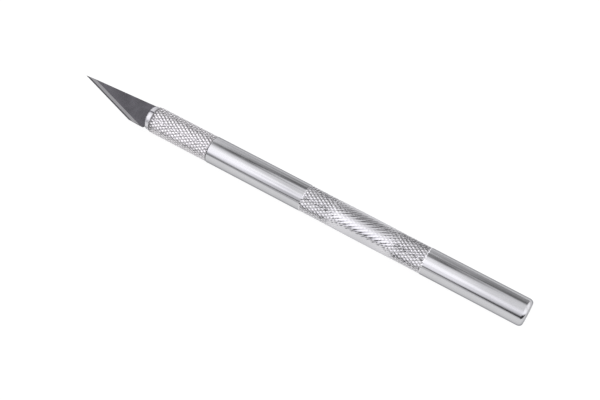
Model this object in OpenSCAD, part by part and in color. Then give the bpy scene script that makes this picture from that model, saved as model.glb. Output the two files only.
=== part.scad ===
// Craft knife with a collet chuck, made of eight sub-parts.
// The knife lies along X, tip towards -X, with its axis one handle radius above the ground.

/* [Handle] */
// Outside diameter of the handle and of the chuck sleeve
handle_d = 8; // [7.9:0.1:9]
// Length of the handle behind the chuck sleeve
handle_len = 99.1; // [90:0.1:120]
// Length of the smooth grip in front of the knurled band
front_grip_len = 30.5; // [24:0.5:40]
// Length of the knurled band
band_len = 38.4; // [20:0.1:48]
// How far the knurled band's mean surface lies below the smooth surface
band_drop = 0.05; // [0.02:0.01:0.1]
// Length of the rounding around the flat rear end
rear_round_len = 1.3; // [0.8:0.1:1.6]
// How much that rounding narrows the handle, measured on the radius
rear_round_drop = 1; // [0.5:0.1:1.4]

/* [Chuck sleeve] */
// Length of the knurled chuck sleeve
sleeve_len = 19.6; // [19:0.1:24]
// Length of the rounded nose of the sleeve
nose_len = 1.8; // [1:0.1:3]
// How much the nose narrows, measured on the radius
nose_drop = 0.2; // [0.1:0.05:0.2]
// Chamfer on both sides of the joint between sleeve and handle
joint_chamfer = 0.15; // [0.05:0.05:0.3]

/* [Collet] */
// Diameter of the jaws' head
head_d = 7.2; // [6.8:0.05:7.2]
// How far the jaws stand out of the sleeve
jaw_out = 1.6; // [0.8:0.1:2.2]
// Chamfer around the jaws' front edge
jaw_chamfer = 0.5; // [0.1:0.05:0.6]
// Length of the cone that closes the jaws
cone_len = 5.5; // [4:0.1:7]
// Diameter of the collet's plain shoulder
shoulder_d = 6; // [5.8:0.05:6]
// Diameter of the jaws behind their cone
finger_d = 5.6; // [5.4:0.05:5.7]
// Width of the sawn slot between the upper pair of jaws, and the lower pair
cross_slot = 0.4; // [0.3:0.05:0.6]
// Outside diameter of the shank's thread
thread_d = 4; // [3.6:0.1:4.2]
// Pitch of the shank's thread
thread_pitch = 0.7; // [0.5:0.1:0.8]
// Number of thread turns on the shank
thread_turns = 20; // [12:1:24]

/* [Blade] */
// Whole length of the blade, tip to tang end
blade_len = 40; // [38:0.1:41]
// How far the tip stands out of the sleeve
blade_out = 25.9; // [24.5:0.1:26.2]
// Length of the cutting edge along the knife
edge_run = 19.4; // [17:0.1:21]
// Thickness of the blade
blade_t = 0.5; // [0.4:0.05:0.6]
// Width of the ground bevel beside the cutting edge
bevel_w = 1.2; // [0.8:0.1:1.6]
// Width of the tang that the jaws hold
tang_w = 5.85; // [5.6:0.05:6]
// Length of the oval hole in the tang
hole_len = 5.2; // [4:0.1:6]
// Width of the oval hole in the tang
hole_w = 3.1; // [2.5:0.1:3.5]

/* [Hidden] */
$fn = 96;

// Places along the knife are measured from the sleeve's front face, towards the rear.
whole_len = blade_out + sleeve_len + handle_len;
front_x = blade_out - whole_len / 2;
handle_r = handle_d / 2;
running = 0.05;
cut = 0.01;

// Handle
counterbore_end = sleeve_len + 3;
tapped_end = sleeve_len + 20.4;
drill_point = 1.2;
band_start = sleeve_len + front_grip_len;
band_end = band_start + band_len;
rear_end = sleeve_len + handle_len;
rear_steps = 10;
mouth_chamfer = 0.25;

// Sleeve
head_r = head_d / 2;
shoulder_r = shoulder_d / 2;
nose_steps = 8;

// Collet
finger_r = finger_d / 2;
jaw_root = blade_len - blade_out + 0.5;
finger_start = cone_len + 1.2;
shoulder_end = counterbore_end - 0.4;
neck_len = 0.8;
thread_r = thread_d / 2;
thread_depth = 0.61 * thread_pitch;
thread_start = shoulder_end + neck_len;
thread_end = thread_start + thread_turns * thread_pitch;
blade_slot = blade_t + 0.02;

// Blade, in the plane of the blade: x along the knife, y towards the spine
tip_y = 2.3;
spine_y = 3.75;
heel_y = -4;
body_end = -1.75;
shoulder_drop = 0.3;
flare_start = -1.4;
flare_len = 1.8;
flare_steps = 8;
tang_r = tang_w / 2;
tang_end = blade_len - blade_out;
tang_slant = tang_w * tan(8);
hole_from_end = 6.5;
edge_half_t = 0.02;
edge_angle = atan2(tip_y - heel_y, edge_run);
bevel_angle = atan2(blade_t / 2 - edge_half_t, bevel_w);

// Lays a shape that was turned about Z along the knife, with Z pointing to the rear
module along_knife() {
    translate([front_x, 0, handle_r]) rotate([0, 90, 0]) children();
}

// Puts a flat shape, drawn in the plane of the blade, at the height of the knife's axis
module in_blade_plane() {
    translate([front_x, 0, handle_r]) children();
}

// A solid turned from an outline of [radius, place] points
module turned(outline) {
    along_knife() rotate_extrude() polygon(outline);
}

// Quarter of an ellipse that rounds the rear end, from full diameter to the flat end face
function rear_point(step) =
    let (angle = 90 * step / rear_steps)
    [
        handle_r - rear_round_drop * (1 - cos(angle)),
        rear_end - rear_round_len * (1 - sin(angle))
    ];

module handle_body() {
    front_r = handle_r - joint_chamfer;
    front = [
        [shoulder_r + running, sleeve_len],
        [front_r, sleeve_len],
        [handle_r, sleeve_len + joint_chamfer],
        [handle_r, band_start],
        [handle_r - band_drop, band_start + band_drop],
        [handle_r - band_drop, band_end - band_drop],
        [handle_r, band_end]
    ];
    rear = [for (step = [0 : rear_steps]) rear_point(step)];
    bore = [
        [0, rear_end],
        [0, tapped_end + drill_point],
        [thread_r + running, tapped_end],
        [thread_r + running, counterbore_end + mouth_chamfer],
        [thread_r + running + mouth_chamfer, counterbore_end],
        [shoulder_r + running, counterbore_end]
    ];
    color("silver") turned(concat(front, rear, bore));
}

// Quarter of an ellipse that rounds the sleeve's nose, from its front edge to full diameter
function nose_point(step) =
    let (angle = 90 * step / nose_steps)
    [handle_r - nose_drop * (1 - sin(angle)), nose_len * (1 - cos(angle))];

module chuck_sleeve() {
    nose = [for (step = [0 : nose_steps]) nose_point(step)];
    bore = [
        [handle_r, sleeve_len - joint_chamfer],
        [handle_r - joint_chamfer, sleeve_len],
        [shoulder_r + running, sleeve_len],
        [shoulder_r + running, cone_len],
        [head_r + running, 0]
    ];
    color("gainsboro") turned(concat(nose, bore));
}

// One V-shaped turn of the shank's thread
function thread_turn(turn) =
    let (start = thread_start + turn * thread_pitch)
    [
        [thread_r - thread_depth, start],
        [thread_r, start + 0.44 * thread_pitch],
        [thread_r, start + 0.56 * thread_pitch]
    ];

module collet_stem() {
    thread = [for (turn = [0 : thread_turns - 1]) each thread_turn(turn)];
    root_r = thread_r - thread_depth;
    shoulder = [
        [0, jaw_root],
        [shoulder_r - 0.1, jaw_root],
        [shoulder_r, jaw_root + 0.1],
        [shoulder_r, shoulder_end - mouth_chamfer],
        [shoulder_r - mouth_chamfer, shoulder_end],
        [root_r, shoulder_end]
    ];
    end = [
        [root_r, thread_end],
        [root_r - mouth_chamfer, thread_end + mouth_chamfer],
        [0, thread_end + mouth_chamfer]
    ];
    color("darkgray") turned(concat(shoulder, thread, end));
}

// One spring jaw: the quarter of the slotted collet on the given sides of Y and Z
module collet_jaw(side_y, side_z) {
    outline = [
        [0, -jaw_out],
        [head_r - jaw_chamfer, -jaw_out],
        [head_r, jaw_chamfer - jaw_out],
        [head_r, 0],
        [shoulder_r, cone_len],
        [finger_r, finger_start],
        [finger_r, jaw_root],
        [0, jaw_root]
    ];
    quarter = [jaw_root + jaw_out, head_r, head_r];
    low_y = side_y > 0 ? cross_slot / 2 : -cross_slot / 2 - head_r;
    low_z = side_z > 0 ? blade_slot / 2 : -blade_slot / 2 - head_r;
    color("darkgray") intersection() {
        turned(outline);
        in_blade_plane() translate([-jaw_out, low_y, low_z]) cube(quarter);
    }
}

// Concave flare between the blade's body and its tang, on the side that the sign gives
function flare(side, shoulder_y) = [
    for (step = [0 : flare_steps])
        let (
            angle = 180 + 90 * step / flare_steps,
            rise = abs(shoulder_y) - shoulder_drop - tang_r
        )
        [
            flare_start + flare_len * (1 + cos(angle)),
            side * (tang_r + rise * (1 + sin(angle)))
        ]
];

function backwards(points) = [for (i = [len(points) - 1 : -1 : 0]) points[i]];

module blade_outline() {
    polygon(concat(
        [
            [-blade_out, tip_y],
            [edge_run - blade_out, heel_y],
            [body_end, heel_y]
        ],
        flare(-1, heel_y),
        [
            [tang_end, -tang_r],
            [tang_end - tang_slant, tang_r]
        ],
        backwards(flare(1, spine_y)),
        [[body_end, spine_y]]
    ));
}

module tang_hole() {
    half_run = (hole_len - hole_w) / 2;
    translate([tang_end - hole_from_end, 0, -blade_t]) {
        for (side = [-1, 1])
            translate([side * half_run, 0, 0]) cylinder(h = 2 * blade_t, d = hole_w);
        translate([-half_run, -hole_w / 2, 0]) cube([2 * half_run, hole_w, 2 * blade_t]);
    }
}

// Metal that grinding takes off one face along the cutting edge
module bevel_waste() {
    reach = blade_len;
    translate([-blade_out, tip_y, edge_half_t])
        rotate([0, 0, -edge_angle])
            rotate([bevel_angle, 0, 0])
                translate([-reach / 2, -bevel_w, 0])
                    cube([1.5 * reach, 3 * bevel_w, blade_t]);
}

module blade() {
    color("dimgray") in_blade_plane() difference() {
        translate([0, 0, -blade_t / 2]) linear_extrude(blade_t) blade_outline();
        tang_hole();
        bevel_waste();
        mirror([0, 0, 1]) bevel_waste();
    }
}

handle_body();
chuck_sleeve();
collet_stem();
collet_jaw(1, 1);  // collet_jaw_1
collet_jaw(-1, 1);  // collet_jaw_2
collet_jaw(-1, -1);  // collet_jaw_3
collet_jaw(1, -1);  // collet_jaw_4
blade();
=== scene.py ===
import math

import bmesh
import bpy
import numpy as np
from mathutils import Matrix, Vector


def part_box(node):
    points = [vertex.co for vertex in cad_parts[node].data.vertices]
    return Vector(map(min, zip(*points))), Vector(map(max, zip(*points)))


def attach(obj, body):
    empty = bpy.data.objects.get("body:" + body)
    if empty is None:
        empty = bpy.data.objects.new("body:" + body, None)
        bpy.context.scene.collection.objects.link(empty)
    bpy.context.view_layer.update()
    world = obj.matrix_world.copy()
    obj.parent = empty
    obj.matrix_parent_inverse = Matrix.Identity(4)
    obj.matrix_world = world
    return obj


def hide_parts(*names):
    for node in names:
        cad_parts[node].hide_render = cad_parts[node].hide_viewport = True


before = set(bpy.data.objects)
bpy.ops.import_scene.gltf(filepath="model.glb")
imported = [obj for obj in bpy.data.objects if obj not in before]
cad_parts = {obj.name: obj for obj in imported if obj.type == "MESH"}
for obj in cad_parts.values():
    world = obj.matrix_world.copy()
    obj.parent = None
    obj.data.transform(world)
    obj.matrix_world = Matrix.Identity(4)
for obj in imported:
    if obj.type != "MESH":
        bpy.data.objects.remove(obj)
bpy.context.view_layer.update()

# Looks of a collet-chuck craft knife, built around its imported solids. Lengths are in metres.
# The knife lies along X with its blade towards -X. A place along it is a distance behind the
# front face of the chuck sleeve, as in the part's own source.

MM = 0.001

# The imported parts, as boxes
HANDLE_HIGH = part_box("handle_body")[1]
SLEEVE_LOW, SLEEVE_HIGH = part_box("chuck_sleeve")
STEM_LOW, STEM_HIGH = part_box("collet_stem")
BLADE_LOW, BLADE_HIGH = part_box("blade")

FRONT_X = SLEEVE_LOW[0]
AXIS_Z = (BLADE_LOW[2] + BLADE_HIGH[2]) / 2
HANDLE_R = AXIS_Z
SLEEVE_LEN = SLEEVE_HIGH[0] - SLEEVE_LOW[0]
REAR_END = HANDLE_HIGH[0] - FRONT_X

# Sizes that the boxes don't give, as in the part's own source
BAND_START = SLEEVE_LEN + 30.5 * MM
BAND_END = BAND_START + 38.4 * MM
REAR_ROUND_LEN = 1.3 * MM
REAR_ROUND_DROP = 1.0 * MM
JOINT_CHAMFER = 0.15 * MM
NOSE_LEN = 1.8 * MM
NOSE_DROP = 0.2 * MM
CONE_LEN = 5.5 * MM
HEAD_BORE_R = 3.65 * MM
SHOULDER_R = 3.0 * MM
COUNTERBORE_END = SLEEVE_LEN + 3.0 * MM
SHOULDER_END = COUNTERBORE_END - 0.4 * MM
SHOULDER_CHAMFER = 0.1 * MM
NECK_LEN = 0.8 * MM
TAPPED_END = SLEEVE_LEN + 20.4 * MM
DRILL_POINT = 1.2 * MM
THREAD_R = 2.0 * MM
THREAD_PITCH = 0.7 * MM
THREAD_DEPTH = 0.61 * THREAD_PITCH
CREST_GAIN = 1.15
RUNNING = 0.05 * MM
MOUTH_CHAMFER = 0.25 * MM

# The cutting edge, from tip to heel
TIP = Vector((FRONT_X - 25.9 * MM, 2.3 * MM))
HEEL = Vector((FRONT_X - 6.5 * MM, -4.0 * MM))
HONED_WIDTH = 0.4 * MM

# How squarely a face of the blade looks up or down, at least, to be a lapped face or a bevel
LAPPED_UP, BEVEL_UP = 0.995, 0.9

# Diamond knurling: two crossing families of V-shaped grooves, which leave small pyramids
KNURL_STARTS = 26
KNURL_PITCH = 1.65 * MM
CELL_STEPS = 8
COLUMNS = KNURL_STARTS * CELL_STEPS
ROW_MARGIN = 0.3
SLEEVE_KNURL_DEPTH = 0.145 * MM
BAND_KNURL_DEPTH = 0.17 * MM
BAND_FADE = 0.5 * MM

# Wear of the band's middle: the share of the depth that is left, the same for the second family
# of grooves, and how far from the middle the knurl is whole again
BAND_MIDDLE = (BAND_START + BAND_END) / 2
BAND_WORN = 0.27
SECOND_WORN = 0.55
WORN_REACH = 0.28 * (BAND_END - BAND_START)

# Random marks of the knurling tool
KNURL_BURR = 0.035 * MM
BAND_SEED, SLEEVE_SEED = 1, 2

# Rings that a surface is cut into, and the angle above which an edge stays sharp
REAR_STEPS = 16
REAR_FACE_RING = 1.2 * MM
SHARP_ANGLE = math.radians(32)
BLADE_SHARP_ANGLE = math.radians(5)
MERGE_WITHIN = 1e-7
FLAT_WITHIN = math.radians(1.0)


# ---------------------------------------------------------------- camera, floor and light

CAMERA_AZIMUTH = 30.78
CAMERA_ELEVATION = 61.58
CAMERA_DISTANCE = 0.3473
CAMERA_LENS = 75.0
SENSOR_WIDTH = 36.0
CAMERA_AIM = (2.92 * MM, -1.34 * MM, AXIS_Z)


def make_camera():
    """Looks down on the knife from the cutting edge's side, with the rear end nearest."""
    azimuth = math.radians(CAMERA_AZIMUTH)
    elevation = math.radians(CAMERA_ELEVATION)
    away = Vector((
        math.sin(azimuth) * math.cos(elevation),
        -math.cos(azimuth) * math.cos(elevation),
        math.sin(elevation),
    ))
    data = bpy.data.cameras.new("camera")
    data.lens = CAMERA_LENS
    data.sensor_width = SENSOR_WIDTH
    data.clip_start = 0.01
    camera = bpy.data.objects.new("camera", data)
    bpy.context.scene.collection.objects.link(camera)
    camera.location = Vector(CAMERA_AIM) + away * CAMERA_DISTANCE
    camera.rotation_euler = (-away).to_track_quat("-Z", "Y").to_euler()
    bpy.context.scene.camera = camera


class Nodes:
    """A node tree with short ways to add and link nodes."""

    def __init__(self, tree):
        self.tree = tree
        tree.nodes.clear()

    def add(self, kind, inputs=None, **settings):
        """Adds a node with its settings, and feeds its inputs."""
        node = self.tree.nodes.new(kind)
        for name, value in settings.items():
            setattr(node, name, value)
        for name, value in (inputs or {}).items():
            self.feed(node, name, value)
        return node

    def feed(self, node, name, value):
        """Links a socket to an input, or sets the input's own value."""
        if isinstance(value, bpy.types.NodeSocket):
            self.tree.links.new(value, node.inputs[name])
        else:
            node.inputs[name].default_value = value

    def math(self, operation, a, b=0.0, clamp=False):
        """Result of a sum on one or two values or sockets."""
        node = self.add("ShaderNodeMath", {0: a, 1: b}, operation=operation, use_clamp=clamp)
        return node.outputs[0]

    def spread(self, value, low, high, to_low=0.0, to_high=1.0):
        """Maps a range of a value onto another range, and holds it at the ends."""
        node = self.add("ShaderNodeMapRange", {
            "Value": value, "From Min": low, "From Max": high, "To Min": to_low, "To Max": to_high,
        })
        return node.outputs["Result"]

    def noise(self, grain, **place):
        """Grey noise of a scale and detail, over the place in Vector or the number in W."""
        kind = "1D" if "W" in place else "3D"
        node = self.add("ShaderNodeTexNoise", {**place, **grain}, noise_dimensions=kind)
        return node.outputs["Fac"]

    def ramp(self, factor, stops):
        """A colour ramp from (place, colour) stops."""
        node = self.add("ShaderNodeValToRGB", {"Fac": factor})
        elements = node.color_ramp.elements
        while len(elements) < len(stops):
            elements.new(0.5)
        for element, (place, colour) in zip(elements, stops):
            element.position = place
            element.color = (*colour, 1.0)
        return node.outputs["Color"]

    def mix(self, factor, a, b):
        """A blend of two colours."""
        node = self.add("ShaderNodeMix", data_type="RGBA")
        self.feed(node, 0, factor)
        self.feed(node, 6, a)
        self.feed(node, 7, b)
        return node.outputs[2]


# The soft boxes and dark gaps of the studio, seen along the knife: degrees from straight up
# towards the spine's side, and how bright the room is there. Two rooms lie across the knife, one
# by each half of it, and two lie beyond its ends.
ROOM_BY_BLADE = [
    (-100, 1.00), (-88, 0.80), (-84, 0.45), (-79, 0.22), (-74, 0.55), (-69, 0.95), (-60, 1.30),
    (-52, 1.55), (-43, 1.70), (-19, 1.65), (-10, 1.45), (-2, 1.15), (6, 0.97), (14, 0.72),
    (23, 0.27), (28, 0.12), (33, 0.08), (38, 0.18), (44, 0.33), (53, 0.53), (64, 0.64), (76, 0.67),
    (107, 0.60),
]
ROOM_BY_REAR = [
    (-100, 1.00), (-88, 0.90), (-83, 0.50), (-79, 0.08), (-75, 0.00), (-71, 0.02), (-66, 0.34),
    (-62, 0.62), (-58, 0.85), (-50, 1.02), (-42, 1.22), (-35, 1.30), (-27, 1.20), (-19, 1.04),
    (-11, 0.95), (12, 0.99), (21, 0.98), (27, 0.95), (33, 0.78), (38, 0.45), (43, 0.20), (48, 0.14),
    (58, 0.26), (69, 0.35), (82, 0.38), (94, 0.40),
]
ROOM_BEYOND_REAR = [
    (-102, 1.00), (-95, 0.02), (-58, 0.02), (-50, 1.0), (-38, 1.55), (-5, 1.50), (20, 1.15), (45, 1.40),
    (80, 1.30), (92, 0.45), (104, 0.60),
]
ROOM_BEYOND_BLADE = [
    (-102, 1.00), (-95, 0.30), (-70, 0.40), (-58, 1.60), (0, 1.60), (12, 0.80), (32, 0.70), (48, 1.60),
    (85, 1.60), (104, 1.30),
]
PLAIN_TINT = (0.985, 0.98, 1.0)
PANEL_TINT = (0.965, 0.955, 1.0)
TINTED_PANEL = (-82, -22)

# A ramp's colours stop at 1, so they hold each level as a share of RAMP_TOP
RAMP_TOP = 2
ROOM_GAIN = 2.14
BACKDROP_LEVEL = 1.05

# Where one room fades into the next, as the X of a direction
ACROSS = (-0.26, -0.087)
PAST_REAR = (0.15, 0.35)
PAST_BLADE = (-0.37, -0.50)

KEY_SIZE = (0.5, 0.3)
KEY_ENERGY = 0.7
KEY_PLACE = (-0.05, -0.35, 0.6)

FLOOR_HALF = 4.0
FLOOR_PAINT = (0.14, 0.14, 0.14, 1.0)
FLOOR_GLOW = 0.88


def room_stops(room):
    """Colour stops over a whole turn of direction, as shares of RAMP_TOP."""
    stops = []
    for angle, level in room:
        tint = PANEL_TINT if TINTED_PANEL[0] < angle < TINTED_PANEL[1] else PLAIN_TINT
        stops.append((angle / 360 + 0.5, tuple(level / RAMP_TOP * share for share in tint)))
    return stops


def make_world():
    """A room of soft white panels with dark gaps between them, which only reflections see."""
    world = bpy.data.worlds.new("studio")
    bpy.context.scene.world = world
    world.use_nodes = True
    n = Nodes(world.node_tree)
    direction = n.add("ShaderNodeTexCoord").outputs["Generated"]
    split = n.add("ShaderNodeSeparateXYZ", {"Vector": direction})
    x, y, z = (split.outputs[name] for name in "XYZ")
    turn = n.math("ADD", n.math("DIVIDE", n.math("ARCTAN2", y, z), 2 * math.pi), 0.5)
    rooms = (ROOM_BY_BLADE, ROOM_BY_REAR, ROOM_BEYOND_REAR, ROOM_BEYOND_BLADE)
    by_blade, by_rear, beyond_rear, beyond_blade = (n.ramp(turn, room_stops(room)) for room in rooms)
    around = n.mix(n.spread(x, *ACROSS), by_blade, by_rear)
    around = n.mix(n.spread(x, *PAST_REAR), around, beyond_rear)
    around = n.mix(n.spread(x, *PAST_BLADE), around, beyond_blade)
    room = n.add("ShaderNodeBackground", {"Color": around, "Strength": ROOM_GAIN})
    plain = n.add("ShaderNodeBackground", {"Color": (1.0, 1.0, 1.0, 1.0), "Strength": BACKDROP_LEVEL})
    seen = n.add("ShaderNodeLightPath").outputs["Is Camera Ray"]
    shown = n.add("ShaderNodeMixShader")
    n.feed(shown, 0, seen)
    n.feed(shown, 1, room.outputs[0])
    n.feed(shown, 2, plain.outputs[0])
    n.add("ShaderNodeOutputWorld", {"Surface": shown.outputs[0]})


def make_key_light():
    """One large soft box above the camera's side."""
    data = bpy.data.lights.new("key", "AREA")
    data.shape = "RECTANGLE"
    data.size, data.size_y = KEY_SIZE
    data.energy = KEY_ENERGY
    light = bpy.data.objects.new("key", data)
    bpy.context.scene.collection.objects.link(light)
    light.location = KEY_PLACE
    light.rotation_euler = (-light.location).to_track_quat("-Z", "Y").to_euler()
    light.visible_glossy = False


def make_floor():
    """A plain pale sheet that glows a little, so that it stays white around the knife."""
    mesh = bpy.data.meshes.new("floor")
    corners = [(FLOOR_HALF * x, FLOOR_HALF * y, 0) for x, y in ((-1, -1), (1, -1), (1, 1), (-1, 1))]
    mesh.from_pydata(corners, [], [(0, 1, 2, 3)])
    floor = bpy.data.objects.new("floor", mesh)
    bpy.context.scene.collection.objects.link(floor)
    material = bpy.data.materials.new("floor_paper")
    material.use_nodes = True
    n = Nodes(material.node_tree)
    shader = n.add("ShaderNodeBsdfPrincipled", {
        "Base Color": FLOOR_PAINT, "Roughness": 0.9, "Specular IOR Level": 0.1,
        "Emission Color": (1.0, 1.0, 1.0, 1.0), "Emission Strength": FLOOR_GLOW,
    })
    n.add("ShaderNodeOutputMaterial", {"Surface": shader.outputs[0]})
    mesh.materials.append(material)


# ---------------------------------------------------------------- materials


# Brightness of metal at a glancing angle
METAL_RIM = (0.35, 0.35, 0.37, 1.0)
KNURL_RIM = (0.7, 0.7, 0.72, 1.0)

# Painted shade towards the bottom of the knurl's grooves (how dark it gets, and how far up it reaches),
# and the tone of the band's worn middle
GROOVE_PAINTED_SHADE = 0.2
GROOVE_SHADE_SPREAD = 0.35
WORN_TONE = (0.59, 0.585, 0.605, 1.0)

# Turned and knurled aluminium
TURNED_ROUGH, KNURL_ROUGH, COLLET_ROUGH = 0.16, 0.12, 0.36
TURNED_STRETCH = 0.55
RING_NOISE = {"Scale": 9000.0, "Detail": 3.0}
SMUDGE_NOISE = {"Scale": 160.0, "Detail": 5.0}
CLOUD_NOISE = {"Scale": 220.0, "Detail": 4.0}
GRAIN_DETAIL = 4.0


def axis_radius(n, place):
    """A point's place along the knife, and its distance from the axis."""
    split = n.add("ShaderNodeSeparateXYZ", {"Vector": place})
    y = split.outputs["Y"]
    z = n.math("SUBTRACT", split.outputs["Z"], AXIS_Z)
    squares = n.math("ADD", n.math("MULTIPLY", y, y), n.math("MULTIPLY", z, z))
    return split.outputs["X"], n.math("SQRT", squares)


def two_tone(n, first, second, share, colour, shade):
    """Paint between a colour and its darker shade, by a blend of two noises."""
    tone = n.math("ADD", n.math("MULTIPLY", first, share), n.math("MULTIPLY", second, 1 - share))
    darker = tuple(shade * c for c in colour)
    return n.ramp(tone, [(0.35, darker), (0.65, colour)])


def grooved(n, paint, colour, x, radius, knurl_depth):
    """Paints shade towards the bottom of the grooves by darkening the paint there, and dulls it in the
    band's worn middle.
    """
    height = n.spread(radius, HANDLE_R - knurl_depth, HANDLE_R)
    # Painted shade: the colour itself darkens towards the grooves' bottoms, where shade falls
    painted_groove_shade = tuple(GROOVE_PAINTED_SHADE * c for c in colour)
    paint = n.mix(n.math("POWER", height, GROOVE_SHADE_SPREAD), (*painted_groove_shade, 1.0), paint)
    away = n.math("ABSOLUTE", n.math("SUBTRACT", x, FRONT_X + BAND_MIDDLE))
    away = n.math("DIVIDE", away, WORN_REACH, clamp=True)
    return n.mix(n.math("POWER", away, 2.0), WORN_TONE, paint)


def aluminium(name, colour, roughness, ring_height, anisotropic, knurl_depth=0.0):
    """Turned aluminium: tool rings around the axis, handling smudges, and painted shade in the knurl
    grooves.
    """
    material = bpy.data.materials.new(name)
    material.use_nodes = True
    n = Nodes(material.node_tree)
    place = n.add("ShaderNodeTexCoord").outputs["Object"]
    x, radius = axis_radius(n, place)
    rings = n.noise(RING_NOISE, W=n.math("ADD", x, radius))
    smudge = n.noise(SMUDGE_NOISE, Vector=place)
    paint = two_tone(n, rings, smudge, 0.5, colour, 0.90)
    if knurl_depth:
        paint = grooved(n, paint, colour, x, radius, knurl_depth)
    rough = n.spread(smudge, 0.3, 0.7, roughness * 0.8, roughness * 1.25)
    bump = n.add("ShaderNodeBump", {"Height": rings, "Strength": 1.0, "Distance": ring_height})
    around = n.add("ShaderNodeTangent", direction_type="RADIAL", axis="X")
    shader = n.add("ShaderNodeBsdfPrincipled", {
        "Base Color": paint, "Metallic": 1.0, "Roughness": rough, "Normal": bump.outputs["Normal"],
        "Anisotropic": anisotropic, "Anisotropic Rotation": 0.25, "Tangent": around.outputs["Tangent"],
        "Specular Tint": KNURL_RIM if knurl_depth else METAL_RIM,
    })
    n.add("ShaderNodeOutputMaterial", {"Surface": shader.outputs[0]})
    return material


def steel(name, colour, roughness, stretch, turn, grain_scale, grain_height):
    """Ground steel with fine lines. The stretch says how fast the grain runs on X, Y and Z."""
    material = bpy.data.materials.new(name)
    material.use_nodes = True
    n = Nodes(material.node_tree)
    place = n.add("ShaderNodeTexCoord").outputs["Object"]
    turned = n.add("ShaderNodeMapping", {"Vector": place, "Rotation": (0.0, 0.0, turn), "Scale": stretch})
    grain = n.noise({"Scale": grain_scale, "Detail": GRAIN_DETAIL}, Vector=turned.outputs[0])
    cloud = n.noise(CLOUD_NOISE, Vector=place)
    paint = two_tone(n, grain, cloud, 0.6, colour, 0.82)
    rough = n.spread(cloud, 0.3, 0.7, roughness * 0.85, roughness * 1.2)
    bump = n.add("ShaderNodeBump", {"Height": grain, "Strength": 1.0, "Distance": grain_height})
    shader = n.add("ShaderNodeBsdfPrincipled", {
        "Base Color": paint, "Metallic": 1.0, "Roughness": rough, "Normal": bump.outputs["Normal"],
    })
    n.add("ShaderNodeOutputMaterial", {"Surface": shader.outputs[0]})
    return material


# ---------------------------------------------------------------- turned shapes


def rounded(corners, steps=4):
    """An outline of (place, radius, fillet) corners, with each corner's fillet as a curve."""
    points = []
    for i, (x, r, fillet) in enumerate(corners):
        corner = np.array([x, r])
        if fillet == 0:
            points.append(corner)
            continue
        before = np.array(corners[i - 1][:2]) - corner
        after = np.array(corners[i + 1][:2]) - corner
        before = before / np.linalg.norm(before)
        after = after / np.linalg.norm(after)
        start, end = corner + before * fillet, corner + after * fillet
        for t in np.linspace(0, 1, steps):
            points.append((1 - t) ** 2 * start + 2 * t * (1 - t) * corner + t ** 2 * end)
    return points


def smooth_rings(points):
    """Plain rings: place, radius at each column, and False for smooth shading."""
    return [(x, np.full(COLUMNS, r), False) for x, r in points]


def wave(value):
    """A triangle wave: 0 at whole numbers, 1 half-way between them."""
    return 1 - np.abs(2 * np.mod(value, 1) - 1)


def knurl_height(x, second_family=1.0):
    """Height of the knurl around one ring, from 0 in a groove to 1 at a pyramid's tip."""
    column = np.arange(COLUMNS) / CELL_STEPS
    first = wave(column + x / KNURL_PITCH)
    second = 1 - second_family * (1 - wave(column - x / KNURL_PITCH))
    return np.minimum(first, second)


def burrs(seed, rows):
    """Depths of the knurling tool's small random marks, one row for each ring."""
    return KNURL_BURR * np.random.default_rng(seed).random((rows, COLUMNS))


def knurl_rows(start, end):
    """Places between two ends, on the grid whose corners the grooves cross."""
    step = KNURL_PITCH / CELL_STEPS
    first, last = math.ceil(start / step + ROW_MARGIN), math.floor(end / step - ROW_MARGIN)
    return [i * step for i in range(first, last + 1)]


def place_of(x, radii):
    """World places of one ring's points."""
    angle = 2 * math.pi * np.arange(COLUMNS) / COLUMNS
    return [
        (FRONT_X + x, r * math.cos(a), AXIS_Z + r * math.sin(a))
        for r, a in zip(radii, angle)
    ]


def strip_between(low, high, radii_low, radii_high, faceted):
    """Faces between two rings. A faceted strip is cut along its creases."""
    faces = []
    for j in range(COLUMNS):
        k = (j + 1) % COLUMNS
        a, b, c, d = low + j, low + k, high + k, high + j
        if not faceted:
            faces.append((a, b, c, d))
        elif abs(radii_low[j] - radii_high[k]) <= abs(radii_low[k] - radii_high[j]):
            faces += [(a, b, c), (a, c, d)]
        else:
            faces += [(a, b, d), (b, c, d)]
    return faces


def turned_mesh(name, rings, loop):
    """A closed solid from rings along an outline, which loops or ends on the axis both ways."""
    points, faces, flat = [], [], []
    starts = []
    for x, radii, _ in rings:
        starts.append(len(points))
        points += [(FRONT_X + x, 0.0, AXIS_Z)] if radii[0] == 0 else place_of(x, radii)
    pairs = list(zip(range(len(rings)), range(1, len(rings))))
    if loop:
        pairs.append((len(rings) - 1, 0))
    for i, j in pairs:
        low, high = rings[i], rings[j]
        if low[1][0] == 0:
            new = [(starts[i], starts[j] + k, starts[j] + (k + 1) % COLUMNS) for k in range(COLUMNS)]
        elif high[1][0] == 0:
            new = [(starts[i] + (k + 1) % COLUMNS, starts[i] + k, starts[j]) for k in range(COLUMNS)]
        else:
            new = strip_between(starts[i], starts[j], low[1], high[1], low[2] and high[2])
        faces += new
        flat += [low[2] and high[2]] * len(new)
    mesh = bpy.data.meshes.new(name)
    mesh.from_pydata(points, [], faces)
    mesh.polygons.foreach_set("use_smooth", [not f for f in flat])
    mesh.polygons.foreach_set("material_index", [int(f) for f in flat])
    tidy_normals(mesh)
    mesh.set_sharp_from_angle(angle=SHARP_ANGLE)
    return mesh


def tidy_normals(mesh):
    """Turns every face of a closed mesh outwards."""
    work = bmesh.new()
    work.from_mesh(mesh)
    bmesh.ops.recalc_face_normals(work, faces=work.faces)
    work.to_mesh(mesh)
    work.free()


def add_piece(name, mesh, node, body, materials):
    """Puts a piece in the scene in place of a CAD node, moving with the node's body."""
    piece = bpy.data.objects.new(name, mesh)
    bpy.context.scene.collection.objects.link(piece)
    for material in materials:
        mesh.materials.append(material)
    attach(piece, body)
    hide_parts(node)
    return piece


# ---------------------------------------------------------------- handle


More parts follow.
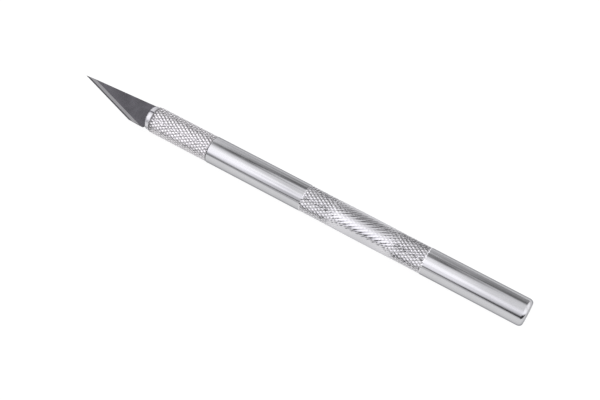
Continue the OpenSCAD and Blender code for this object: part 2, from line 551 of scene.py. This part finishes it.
def band_rings():
    """The knurled band of the handle, worn nearly smooth in the middle."""
    rings = []
    rows = knurl_rows(BAND_START, BAND_END)
    for x, burr in zip(rows, burrs(BAND_SEED, len(rows))):
        inside = min(x - BAND_START, BAND_END - x)
        fade = min(1.0, inside / BAND_FADE)
        away = min(1.0, abs(x - BAND_MIDDLE) / WORN_REACH)
        height = knurl_height(x, SECOND_WORN + (1 - SECOND_WORN) * away ** 2)
        share = fade * (BAND_WORN + (1 - BAND_WORN) * away ** 2)
        radii = HANDLE_R - share * (BAND_KNURL_DEPTH * (1 - height) + burr)
        rings.append((x, radii, True))
    return rings


def rear_point(angle):
    """Place and radius on the ellipse that rounds the rear end."""
    place = REAR_END - REAR_ROUND_LEN * (1 - math.sin(angle))
    return place, HANDLE_R - REAR_ROUND_DROP * (1 - math.cos(angle))


def handle_rings():
    """The handle's outline, from the bottom of its bore round its outside to the rear face."""
    front = rounded([
        (TAPPED_END + DRILL_POINT, 0.0, 0),
        (TAPPED_END, THREAD_R + RUNNING, 0),
        (COUNTERBORE_END + MOUTH_CHAMFER, THREAD_R + RUNNING, 0),
        (COUNTERBORE_END, THREAD_R + RUNNING + MOUTH_CHAMFER, 0),
        (COUNTERBORE_END, SHOULDER_R + RUNNING, 0),
        (SLEEVE_LEN, SHOULDER_R + RUNNING, 0.05 * MM),
        (SLEEVE_LEN, HANDLE_R - JOINT_CHAMFER, 0.03 * MM),
        (SLEEVE_LEN + JOINT_CHAMFER, HANDLE_R, 0.06 * MM),
        (BAND_START, HANDLE_R, 0),
    ])
    rear = [(BAND_END, HANDLE_R)]
    rear += [rear_point(angle) for angle in np.linspace(0, math.pi / 2, REAR_STEPS)]
    face = [(REAR_END, REAR_FACE_RING), (REAR_END, 0.0)]
    return smooth_rings(front) + band_rings() + smooth_rings(rear + face)


def make_handle():
    mesh = turned_mesh("handle_turned", handle_rings(), loop=False)
    smooth = aluminium("handle_metal", (0.58, 0.58, 0.595), TURNED_ROUGH, 0.001 * MM, TURNED_STRETCH)
    knurled = aluminium(
        "handle_knurl", (0.86, 0.85, 0.875), KNURL_ROUGH, 0.0004 * MM, 0.0, BAND_KNURL_DEPTH,
    )
    add_piece("handle_turned", mesh, "handle_body", "handle", [smooth, knurled])


# ---------------------------------------------------------------- chuck sleeve


def nose_radius(x):
    """Radius that the rounded nose and the chamfer at the joint leave."""
    share = min(1.0, x / NOSE_LEN)
    nose = HANDLE_R - NOSE_DROP * (1 - math.sqrt(1 - (1 - share) ** 2))
    joint = HANDLE_R - max(0.0, x - (SLEEVE_LEN - JOINT_CHAMFER))
    return min(nose, joint)


def sleeve_rings():
    """The sleeve's outline: its knurled outside, then its bore and its front edge."""
    edge = 0.02 * MM
    ends = [edge, SLEEVE_LEN - JOINT_CHAMFER, SLEEVE_LEN - edge]
    rows = sorted(ends + knurl_rows(edge, SLEEVE_LEN - edge))
    outside = []
    for x, burr in zip(rows, burrs(SLEEVE_SEED, len(rows))):
        outside.append((x, nose_radius(x) - SLEEVE_KNURL_DEPTH * (1 - knurl_height(x)) - burr, True))
    inside = rounded([
        (SLEEVE_LEN, HANDLE_R - 2 * JOINT_CHAMFER, 0),
        (SLEEVE_LEN, SHOULDER_R + RUNNING, 0.04 * MM),
        (CONE_LEN, SHOULDER_R + RUNNING, 0.3 * MM),
        (0.0, HEAD_BORE_R, 0.04 * MM),
        (0.0, HANDLE_R - NOSE_DROP - SLEEVE_KNURL_DEPTH, 0),
    ])
    return outside + smooth_rings(inside)


def make_sleeve():
    mesh = turned_mesh("sleeve_knurled", sleeve_rings(), loop=True)
    smooth = aluminium("sleeve_metal", (0.6, 0.6, 0.615), TURNED_ROUGH, 0.0006 * MM, TURNED_STRETCH)
    knurled = aluminium(
        "sleeve_knurl", (0.975, 0.95, 0.975), KNURL_ROUGH, 0.0004 * MM, 0.0, SLEEVE_KNURL_DEPTH,
    )
    add_piece("sleeve_knurled", mesh, "chuck_sleeve", "sleeve", [smooth, knurled])


# ---------------------------------------------------------------- collet


def softened_copy(node, width, segments, angle=30.0):
    """A copy of a CAD node's mesh with its sharp edges broken by a small bevel."""
    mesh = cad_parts[node].data.copy()
    mesh.materials.clear()
    work = bmesh.new()
    work.from_mesh(mesh)
    bmesh.ops.remove_doubles(work, verts=work.verts, dist=MERGE_WITHIN)
    bmesh.ops.dissolve_limit(work, angle_limit=FLAT_WITHIN, verts=work.verts, edges=work.edges)
    sharp = [e for e in work.edges if e.is_manifold and e.calc_face_angle() > math.radians(angle)]
    bmesh.ops.bevel(
        work, geom=sharp, offset=width, offset_type="OFFSET", segments=segments,
        profile=0.5, affect="EDGES", clamp_overlap=True,
    )
    bmesh.ops.recalc_face_normals(work, faces=work.faces)
    work.to_mesh(mesh)
    work.free()
    mesh.polygons.foreach_set("use_smooth", [True] * len(mesh.polygons))
    mesh.set_sharp_from_angle(angle=math.radians(angle))
    return mesh


def make_jaws(metal):
    for number in (1, 2, 3, 4):
        node = f"collet_jaw_{number}"
        mesh = softened_copy(node, 0.05 * MM, 2)
        add_piece(f"jaw_turned_{number}", mesh, node, f"jaw_{number}", [metal])


def thread_rings(start, end):
    """A real helical thread, which runs out at both ends."""
    rings = []
    step = THREAD_PITCH / CELL_STEPS
    turns = np.arange(COLUMNS) / COLUMNS
    for i in range(int((end - start) / step) + 1):
        x = start + i * step
        crest = np.minimum(CREST_GAIN * wave(x / THREAD_PITCH - turns), 1.0)
        runout = min(1.0, (x - start) / THREAD_PITCH, (end - x) / THREAD_PITCH)
        rings.append((x, THREAD_R - THREAD_DEPTH * (1 - crest * runout), False))
    return rings


def make_stem(metal):
    """The collet's plain shoulder and its threaded shank."""
    front = STEM_LOW[0] - FRONT_X
    back = STEM_HIGH[0] - FRONT_X
    root_r = THREAD_R - THREAD_DEPTH
    head = rounded([
        (front, 0.0, 0),
        (front, SHOULDER_R - SHOULDER_CHAMFER, 0.04 * MM),
        (front + SHOULDER_CHAMFER, SHOULDER_R, 0.04 * MM),
        (SHOULDER_END - MOUTH_CHAMFER, SHOULDER_R, 0.08 * MM),
        (SHOULDER_END, SHOULDER_R - MOUTH_CHAMFER, 0.08 * MM),
        (SHOULDER_END, root_r, 0.1 * MM),
        (SHOULDER_END + 0.6 * MM, root_r, 0),
    ])
    tail = rounded([
        (back - MOUTH_CHAMFER, root_r, 0),
        (back, root_r - MOUTH_CHAMFER, 0),
        (back, 0.0, 0),
    ])
    thread = thread_rings(SHOULDER_END + NECK_LEN, back - MOUTH_CHAMFER - 0.02 * MM)
    mesh = turned_mesh("collet_threaded", smooth_rings(head) + thread + smooth_rings(tail), loop=False)
    add_piece("collet_threaded", mesh, "collet_stem", "collet", [metal])


def make_collet():
    metal = aluminium("collet_metal", (0.68, 0.675, 0.70), COLLET_ROUGH, 0.0008 * MM, TURNED_STRETCH)
    make_jaws(metal)
    make_stem(metal)


# ---------------------------------------------------------------- blade


def edge_distance(place):
    """How far a point of the blade lies from the line of its cutting edge."""
    along = (HEEL - TIP).normalized()
    away = Vector(place).xy - TIP
    return abs(along.x * away.y - along.y * away.x)


def honed(mesh):
    """Cuts the ground bevel along the narrow honed strip beside its cutting edge."""
    along = (HEEL - TIP).normalized()
    inward = Vector((-along.y, along.x, 0.0))
    line = Vector((*TIP, 0.0)) + inward * HONED_WIDTH
    work = bmesh.new()
    work.from_mesh(mesh)
    geometry = work.verts[:] + work.edges[:] + work.faces[:]
    bmesh.ops.bisect_plane(work, geom=geometry, plane_co=line, plane_no=inward, dist=1e-8)
    work.to_mesh(mesh)
    work.free()


def make_blade():
    """The blade has dark lapped faces, a lighter ground bevel and dark cut edges."""
    mesh = softened_copy("blade", 0.02 * MM, 2, angle=40.0)
    honed(mesh)
    mesh.set_sharp_from_angle(angle=BLADE_SHARP_ANGLE)
    face = steel("blade_face", (0.24, 0.233, 0.258), 0.24, (1.0, 0.06, 1.0), 0.0, 5000.0, 0.0006 * MM)
    ground = steel("blade_bevel", (0.28, 0.277, 0.285), 0.2, (1.0, 0.05, 1.0), 0.31, 9000.0, 0.0006 * MM)
    cut = steel("blade_cut_edge", (0.09, 0.09, 0.097), 0.35, (0.05, 1.0, 1.0), 0.0, 6000.0, 0.0012 * MM)
    for polygon in mesh.polygons:
        up = abs(polygon.normal.z)
        honed_strip = up < LAPPED_UP and edge_distance(polygon.center) < HONED_WIDTH
        polygon.material_index = 0 if up > LAPPED_UP else 2 if honed_strip or up < BEVEL_UP else 1
    add_piece("blade_ground", mesh, "blade", "blade", [face, ground, cut])


# ---------------------------------------------------------------- the scene

bpy.context.scene.view_settings.view_transform = "Standard"
make_camera()
make_world()
make_key_light()
make_floor()
make_handle()
make_sleeve()
make_collet()
make_blade()
